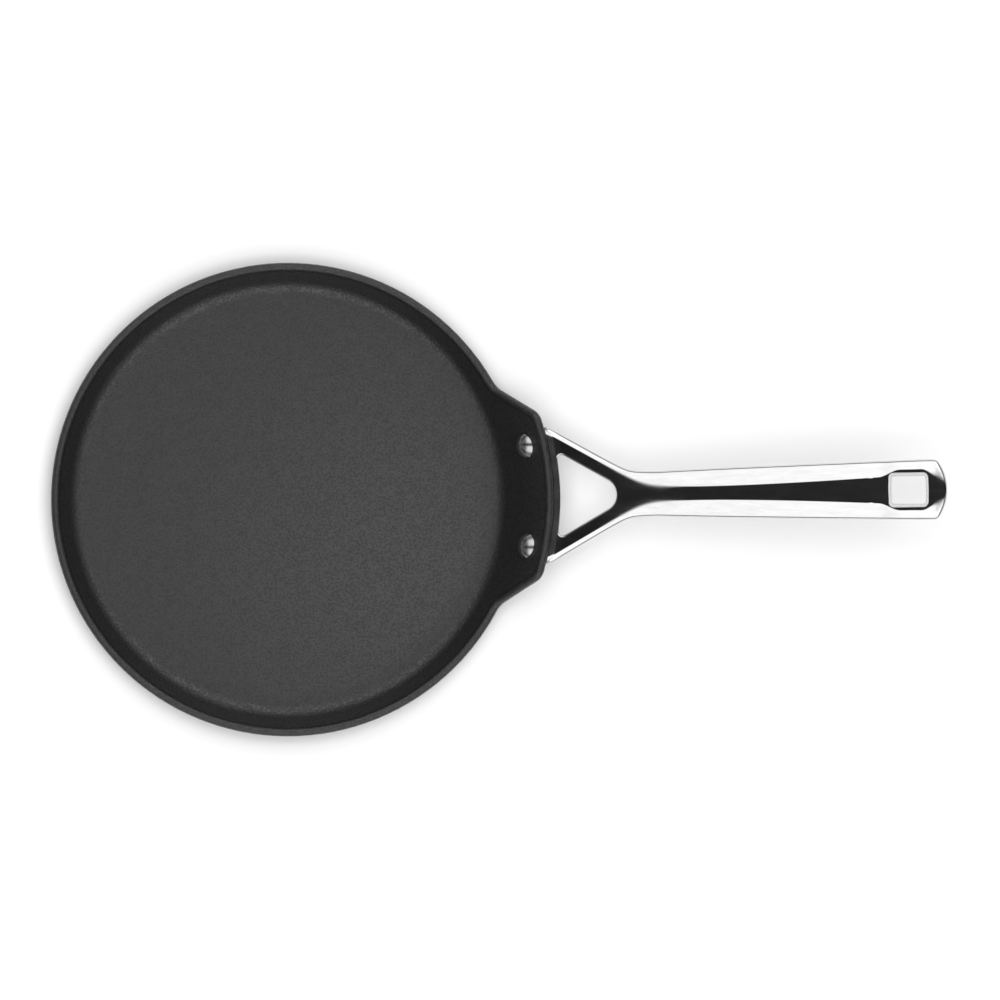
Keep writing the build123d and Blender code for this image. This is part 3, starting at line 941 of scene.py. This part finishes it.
def buildBar():
    outline, fork, hole = barOutline(), forkOpening(), hangingHole()
    facing = np.abs(np.hypot(*outline.T) - bar["earFace"])
    radius = edges["ear"] + (edges["side"] - edges["ear"]) * smoothStep(facing, (0.0, edges["earBlend"]))
    rounded = {
        "side": roundedEdge(outline, radius, 0, True),
        "fork": roundedEdge(fork, np.full(len(fork), edges["fork"]), openings["forkDraft"], False),
        "hole": roundedEdge(hole, np.full(len(hole), edges["hole"]), openings["holeDraft"], False),
    }
    bounds = {name: edgeRows[0]["places"] for name, edgeRows in rounded.items()}
    reliefLoops = [reliefOutline(0), reliefOutline(relief["draft"])]
    rows, links, rims = [], [], {}
    for name, edgeRows in rounded.items():
        for row in edgeRows:
            rims[name] = addRow(rows, row)
            links += neighbours(rims[name])
    reliefRims = [addRow(rows, bellyRow(reliefLoops[0])), addRow(rows, reliefRow(reliefLoops[1]))]
    for rim in reliefRims:
        links += neighbours(rim)
    surface, surfaceLinks = surfaceRows(bounds, reliefLoops)
    within = isInside(surface, reliefLoops[1])
    start = addRow(rows, surfaceRow(surface, within))[0]
    links += [(start + a, start + b) for a, b in surfaceLinks]
    part = {name: np.concatenate([row[name] for row in rows]) for name in rows[0]}
    sheet = coverSheet(part["places"], links, rims)
    return closeBar(part, sheet, rims, reliefRims, start + np.flatnonzero(within))


bracket = {
    "slope": 48,             # degrees, as the ear's wall
    "lipCentre": (132.6, 30.32),
    "lipRadius": 2.36,
    "underside": 1.12,       # from the lip's centre line to the bracket's near face
    "thickness": 2.98,
    "top": 30.15,
    "foot": -19.3,           # along the slope from the lip's centre
    "edge": 0.5,
    "footEdge": 0.3,         # in edges, how far a corner of the foot is cut
    "farEdge": ((1.4, 0.0), (0.5, 0.12)),   # in edges, down the far face from its top and in from it
    "topEdge": ((0.45, 0.12), (1.3, 0.0)),  # in edges, in along the top face and down from it
    "half": 35.4,
    "footCorner": 7.0,
    "bevel": (3.0, 0.46),    # how wide and how steep beside the arms' outer sides
    "sharpFrom": 28,         # degrees
    "columns": 60,
}


def bracketSection():
    # radius and height round the plate, from the lip down its near face and up its far face
    slope = radians(bracket["slope"])
    centre = Vector(bracket["lipCentre"])
    up, out = Vector((cos(slope), sin(slope))), Vector((sin(slope), -cos(slope)))
    near, far = bracket["underside"], bracket["underside"] + bracket["thickness"]
    lip = bracket["lipRadius"]
    startTurn = -asin((centre.y - bracket["top"]) / lip)
    endTurn = slope - pi / 2 - atan2(sqrt(lip ** 2 - near ** 2), near)
    section = arcBetween(centre, lip, startTurn, endTurn)
    edge, foot = bracket["edge"], bracket["foot"]
    cut = edge * bracket["footEdge"]
    for along, across in ((foot + edge, near), (foot + cut, near + cut), (foot, near + edge),
                          (foot, far - edge), (foot + cut, far - cut), (foot + edge, far)):
        section.append(tuple(centre + up * along + out * across))
    corner = centre + up * ((bracket["top"] - centre.y - out.y * far) / up.y) + out * far
    for down, inward in bracket["farEdge"]:
        place = corner - up * edge * down
        section.append((place.x - edge * inward, place.y))
    for inward, down in bracket["topEdge"]:
        section.append((corner.x - edge * inward, corner.y - edge * down))
    return section


def plateHalf(reach, z, foot):
    # half the plate's width: rounded above its foot, and just inside the arms' outer sides
    corner, half = bracket["footCorner"], bracket["half"]
    rise = foot + corner - z
    if rise > 0:
        half += sqrt(corner ** 2 - rise ** 2) - corner
    armX = reach * cos(asin(half / reach))
    armHalf = bar["forkHalf"] + (bar["rootX"] - armX) * forkSlope
    return min(half, armHalf - edges["side"] / 3)


def bevelFall(x, y, z):
    # how far a point sinks under the bevel that runs on from the arms' facets
    width, steepness = bracket["bevel"]
    inside = bar["forkHalf"] + (bar["rootX"] - x) * forkSlope - abs(y)
    inside *= cos(radians(bar["forkAngle"]))
    return max(0, z - (bracket["top"] - steepness * max(0, width - inside)))


def buildBracket():
    section = bracketSection()
    foot = min(z for _, z in section)
    slope = radians(bracket["slope"])
    columns = bracket["columns"]
    points = []
    for k in range(columns + 1):
        share = 2 * k / columns - 1
        for i, (reach, z) in enumerate(section):
            turn = share * asin(plateHalf(reach, z, foot) / reach)
            x, y = reach * cos(turn), reach * sin(turn)
            fall = bevelFall(x, y, z)
            if fall and i > len(section) / 2:   # the far face's top follows the slope
                x, y = (value * (reach - fall / tan(slope)) / reach for value in (x, y))
            points.append((x, y, z - fall))
    ring = len(section)
    faces = [tuple(range(ring)), tuple(reversed(range(columns * ring, (columns + 1) * ring)))]
    for k in range(columns):
        for i in range(ring):
            j = (i + 1) % ring
            faces.append((k * ring + j, k * ring + i, (k + 1) * ring + i, (k + 1) * ring + j))
    mesh = bpy.data.meshes.new("bracketDraft")
    mesh.from_pydata(points, [], faces)
    mesh.shade_smooth()
    mesh.set_sharp_from_angle(angle=radians(bracket["sharpFrom"]))
    normals = [tuple(corner.vector) for corner in mesh.corner_normals]
    bpy.data.meshes.remove(mesh)
    return points, faces, normals


def makeHandle():
    points, faces, normals, cast = buildBar()
    plate, plateFaces, plateNormals = buildBracket()
    faces += [tuple(i + len(points) for i in face) for face in plateFaces]
    mesh = bpy.data.meshes.new("handleCasting")
    mesh.from_pydata([tuple(value * mm for value in point) for point in points + plate], [], faces)
    mesh.shade_smooth()
    mesh.normals_split_custom_set(normals + plateNormals)
    steels = [polished, castSteel, bracketSteel]
    for steel in steels:
        mesh.materials.append(steel)
    slots = [steels.index(castSteel if marked else polished) for marked in cast]
    slots += [steels.index(bracketSteel)] * len(plateFaces)
    mesh.polygons.foreach_set("material_index", slots)
    handle = bpy.data.objects.new("handleCasting", mesh)
    scene.collection.objects.link(handle)
    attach(handle, "root")
    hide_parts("handle")


makeHandle()
print("handle cast")
